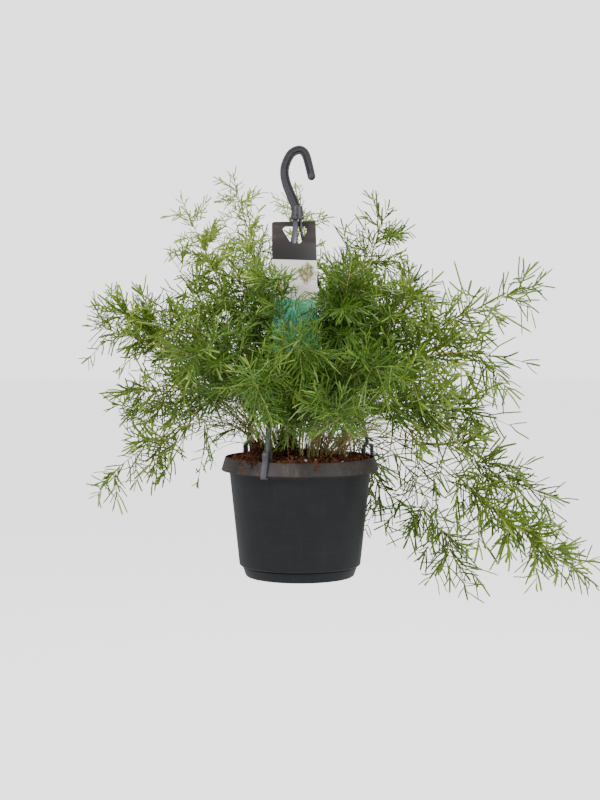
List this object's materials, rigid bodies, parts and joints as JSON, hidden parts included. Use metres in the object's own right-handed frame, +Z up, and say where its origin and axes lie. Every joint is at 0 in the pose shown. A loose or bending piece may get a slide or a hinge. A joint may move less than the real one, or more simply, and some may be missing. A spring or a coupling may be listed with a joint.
{
  "type": "potted hanging asparagus fern",
  "caption": "Bushy sprengeri asparagus fern with arching needle-leaved stems, in a round plastic hanging pot with saucer, clip-on hanger, hook and a bare hang tag.",
  "frame": {"origin": "inner top of the hook's crook, where the rail or wire that carries the pot lies", "axes": "+Z up, +X to the right as seen from the front, +Y away from the viewer; the hook lies in the XZ plane"},
  "size_m": [0.5798, 0.4654, 0.5379],
  "materials": {
    "pot_plastic": "satin",
    "hanger_plastic": "satin",
    "soil": "matte",
    "tag_card": "satin",
    "foliage": "satin",
    "foliage_young": "satin"
  },
  "bodies": {
    "root": {"pot": "pot_plastic", "saucer": "pot_plastic", "soil": "soil", "hook": "hanger_plastic", "hanger_leg_1": "hanger_plastic", "hanger_leg_2": "hanger_plastic", "hanger_leg_3": "hanger_plastic", "hang_tag": "tag_card", "stem_01": "foliage", "stem_02": "foliage", "stem_03": "foliage", "stem_04": "foliage", "stem_05": "foliage", "stem_06": "foliage", "stem_07": "foliage", "stem_08": "foliage", "stem_09": "foliage", "stem_10": "foliage", "stem_11": "foliage", "stem_12": "foliage", "stem_13": "foliage_young", "stem_14": "foliage_young", "stem_15": "foliage_young", "stem_16": "foliage", "stem_17": "foliage", "stem_18": "foliage", "stem_19": "foliage", "stem_20": "foliage", "stem_21": "foliage", "stem_22": "foliage", "stem_23": "foliage", "stem_24": "foliage", "stem_25": "foliage_young", "stem_26": "foliage", "stem_27": "foliage", "stem_28": "foliage", "stem_29": "foliage", "stem_30": "foliage", "stem_31": "foliage", "stem_32": "foliage", "stem_33": "foliage", "stem_34": "foliage", "stem_35": "foliage", "stem_36": "foliage", "stem_37": "foliage", "stem_38": "foliage", "stem_39": "foliage", "stem_40": "foliage", "stem_41": "foliage", "stem_42": "foliage", "stem_43": "foliage", "stem_44": "foliage"}
  },
  "joints": []
}
